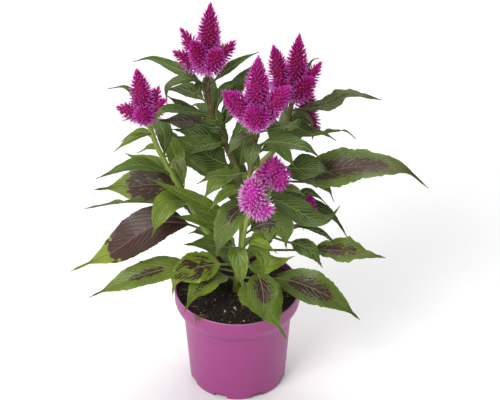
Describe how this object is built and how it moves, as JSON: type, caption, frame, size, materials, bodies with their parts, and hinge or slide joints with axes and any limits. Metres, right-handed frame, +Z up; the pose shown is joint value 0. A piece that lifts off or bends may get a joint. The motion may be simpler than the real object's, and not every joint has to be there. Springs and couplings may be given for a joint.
{
  "type": "plume celosia in a pot",
  "caption": "Potted plume celosia: upright branching stems with variegated pointed leaves and feathery spiked flower heads, standing in soil in a tapered nursery pot.",
  "frame": {"origin": "middle of the underside of the pot, on the surface that the pot stands on", "axes": "+Z up along the pot's axis; -Y is the front, the side that the lower flower heads lean to; +X to the right as seen from the front"},
  "size_m": [0.3289, 0.1871, 0.401],
  "materials": {
    "pot": "satin moulded polypropylene",
    "soil": "matt, dark peat and bark",
    "leaves": "soft satin leaf skin with pale veins and dark maroon patches",
    "florets": "papery, matt, paler tips"
  },
  "bodies": {
    "root": {"pot": "pot", "soil": "soil", "main_stem": "leaves", "left_stem": "leaves", "front_stem": "leaves", "right_stem": "leaves", "back_stem": "leaves", "mid_front_stem": "leaves", "low_front_stem": "leaves", "low_right_stem": "leaves", "crown_head": "florets", "left_head": "florets", "front_head": "florets", "right_head": "florets", "back_head": "florets", "mid_front_head": "florets", "low_front_head": "florets", "low_right_head": "florets"}
  },
  "joints": []
}
